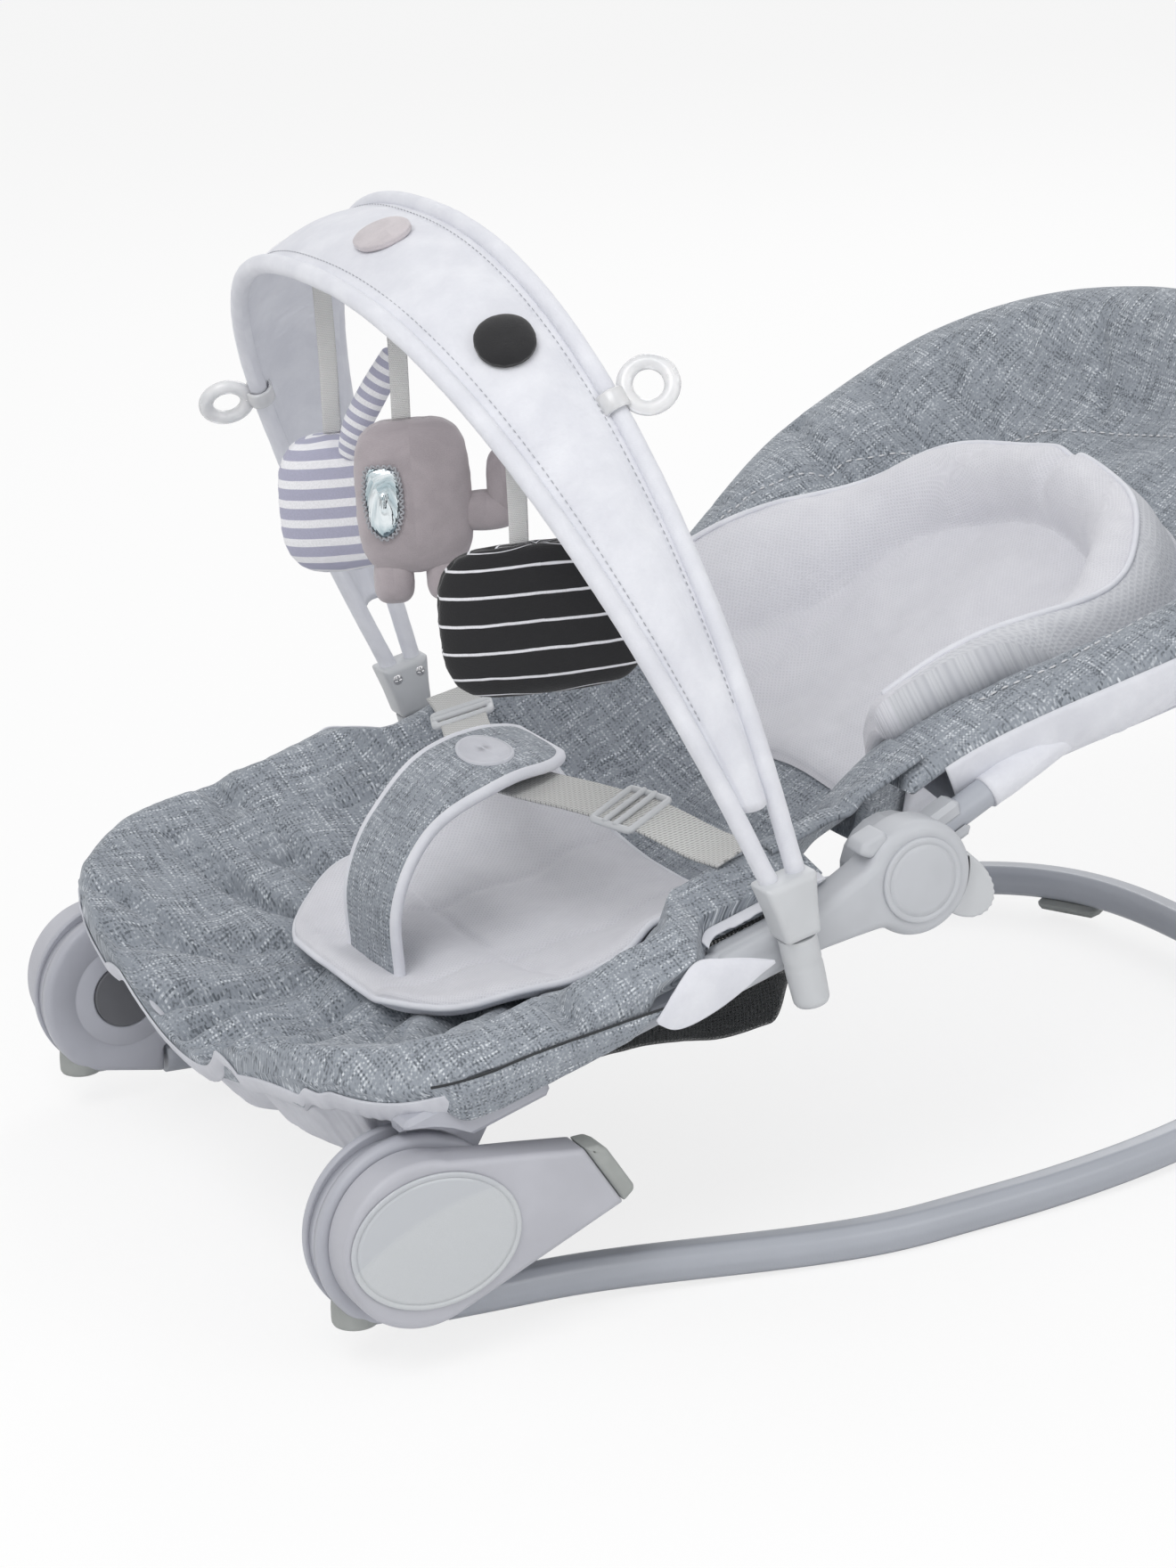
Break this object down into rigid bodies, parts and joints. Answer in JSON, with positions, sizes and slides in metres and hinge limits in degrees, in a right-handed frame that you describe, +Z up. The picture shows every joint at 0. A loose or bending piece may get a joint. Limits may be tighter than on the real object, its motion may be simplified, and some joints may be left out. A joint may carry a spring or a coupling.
{
  "type": "baby bouncer",
  "caption": "Reclining baby bouncer on a rocking tube base, with a padded seat, headrest cushion, harness, toy bar and hanging toys.",
  "frame": {"origin": "on the floor, under the middle of the bounding box", "axes": "+X to the sitter's left, +Y from the feet to the head, +Z up"},
  "size_m": [0.568, 0.8165, 0.6017],
  "materials": {
    "frame_paint": "satin blue-grey paint",
    "shell_plastic": "fine-textured blue-grey plastic",
    "arm_plastic": "fine-textured grey plastic",
    "light_plastic": "fine-textured light grey plastic",
    "badge_plastic": "glossy light silver",
    "soft_rubber": "matt grey-green rubber",
    "button_plastic": "matt dark grey",
    "steel": "bright steel",
    "melange_cloth": "mottled grey linen weave",
    "pale_cloth": "plain pale weave",
    "soft_mesh_cloth": "fine off-white knitted mesh",
    "black_mesh": "open black net",
    "webbing": "coarse ribbed webbing",
    "stripe_cloth": "lavender-grey and white stripes",
    "mauve_cloth": "short mauve-grey plush",
    "black_cloth": "black cloth with thin pale stripes",
    "ring_plastic": "milky translucent plastic"
  },
  "bodies": {
    "base": {"rocker_tube": "frame_paint", "hub_shell_left": "shell_plastic", "hub_shell_right": "shell_plastic", "hub_axle_left": "steel", "hub_axle_right": "steel", "front_foot_left": "soft_rubber", "front_foot_right": "soft_rubber", "rear_pad_left": "soft_rubber", "rear_pad_right": "soft_rubber"},
    "button_left": {"fold_button_left": "button_plastic"},
    "button_right": {"fold_button_right": "button_plastic"},
    "fin_left_side": {"fin_left": "shell_plastic", "fin_tip_left": "soft_rubber", "fin_badge_left": "badge_plastic"},
    "fin_right_side": {"fin_right": "shell_plastic", "fin_tip_right": "soft_rubber", "fin_badge_right": "badge_plastic"},
    "seat": {"seat_hub_left": "shell_plastic", "seat_hub_right": "shell_plastic", "side_tube_left": "frame_paint", "side_tube_right": "frame_paint", "recline_arm_left": "arm_plastic", "recline_arm_right": "arm_plastic", "cross_bar": "frame_paint", "seat_pad": "melange_cloth", "seat_liner": "soft_mesh_cloth", "under_panel": "pale_cloth", "mesh_pouch": "black_mesh", "side_flap_left": "pale_cloth", "side_flap_right": "pale_cloth", "crotch_strap": "melange_cloth", "waist_strap": "webbing", "strap_slider_left": "light_plastic", "strap_slider_right": "light_plastic"},
    "backrest": {"back_frame": "frame_paint", "recline_knuckle_left": "arm_plastic", "recline_knuckle_right": "arm_plastic", "back_pad": "melange_cloth", "head_cushion": "soft_mesh_cloth"},
    "lever_left": {"release_lever_left": "light_plastic"},
    "lever_right": {"release_lever_right": "light_plastic"},
    "toy_posts": {"bar_post_left": "light_plastic", "bar_post_right": "light_plastic"},
    "toy_arch": {"hoop_front": "light_plastic", "hoop_rear": "light_plastic", "arch_band": "pale_cloth", "hoop_clamp_left": "light_plastic", "hoop_clamp_right": "light_plastic"},
    "near_ring": {"ring_near": "ring_plastic"},
    "far_ring": {"ring_far": "ring_plastic"},
    "striped_toy": {"stripe_ribbon": "webbing", "stripe_toy_body": "stripe_cloth", "stripe_toy_tail": "stripe_cloth"},
    "mauve_toy": {"mauve_ribbon": "webbing", "mauve_toy_body": "mauve_cloth", "mauve_toy_arm": "mauve_cloth", "mauve_toy_foot_front": "mauve_cloth", "mauve_toy_foot_rear": "mauve_cloth"},
    "dark_toy": {"black_ribbon": "webbing", "black_toy": "black_cloth"}
  },
  "joints": [
    {"name": "seat_fold", "type": "hinge", "parent": "base", "child": "seat", "pos_m": [0, -0.35896, 0.07484], "axis": [-1, 0, 0], "range_deg": [0, 14]},
    {"name": "fin_left_turn", "type": "hinge", "parent": "base", "child": "fin_left_side", "pos_m": [0, -0.35896, 0.07484], "axis": [-1, 0, 0], "range_deg": [0, 122]},
    {"name": "fin_right_turn", "type": "hinge", "parent": "base", "child": "fin_right_side", "pos_m": [0, -0.35896, 0.07484], "axis": [-1, 0, 0], "range_deg": [0, 122]},
    {"name": "button_left_press", "type": "slide", "parent": "base", "child": "button_left", "axis": [1, 0, 0], "range_m": [0, 0.003], "stiffness_N_per_m": 1200},
    {"name": "button_right_press", "type": "slide", "parent": "base", "child": "button_right", "axis": [-1, 0, 0], "range_m": [0, 0.003], "stiffness_N_per_m": 1200},
    {"name": "backrest_recline", "type": "hinge", "parent": "seat", "child": "backrest", "pos_m": [0, -0.03057, 0.2168], "axis": [1, 0, 0], "range_deg": [-12, 24]},
    {"name": "lever_left_pull", "type": "hinge", "parent": "seat", "child": "lever_left", "pos_m": [0, -0.03057, 0.2168], "axis": [1, 0, 0], "range_deg": [0, 12], "stiffness_Nm_per_rad": 0.5, "springref_deg": -2.86},
    {"name": "lever_right_pull", "type": "hinge", "parent": "seat", "child": "lever_right", "pos_m": [0, -0.03057, 0.2168], "axis": [1, 0, 0], "range_deg": [0, 12], "stiffness_Nm_per_rad": 0.5, "springref_deg": -2.86},
    {"name": "toy_bar_tilt", "type": "hinge", "parent": "seat", "child": "toy_posts", "pos_m": [0, -0.11787, 0.19451], "axis": [1, 0, 0], "range_deg": [-15, 30]},
    {"name": "toy_bar_lift_off", "type": "slide", "parent": "toy_posts", "child": "toy_arch", "axis": [0, -0.1821, 0.9833], "range_m": [0, 0.024]},
    {"name": "near_ring_turn", "type": "hinge", "parent": "toy_arch", "child": "near_ring", "pos_m": [0.19254, -0.17969, 0.51123], "axis": [-0.5989, -0.1801, 0.7803], "range_deg": [-60, 60]},
    {"name": "far_ring_turn", "type": "hinge", "parent": "toy_arch", "child": "far_ring", "pos_m": [-0.21917, -0.22602, 0.45003], "axis": [-0.4419, 0.3576, -0.8227], "range_deg": [-60, 60]},
    {"name": "striped_toy_swing", "type": "hinge", "parent": "toy_arch", "child": "striped_toy", "pos_m": [-0.08242, -0.23481, 0.57403], "axis": [1, 0, 0], "range_deg": [-25, 25]},
    {"name": "mauve_toy_swing", "type": "hinge", "parent": "toy_arch", "child": "mauve_toy", "pos_m": [0.02992, -0.23752, 0.58235], "axis": [1, 0, 0], "range_deg": [-25, 25]},
    {"name": "dark_toy_swing", "type": "hinge", "parent": "toy_arch", "child": "dark_toy", "pos_m": [0.15229, -0.22388, 0.54041], "axis": [1, 0, 0], "range_deg": [-25, 25]}
  ]
}
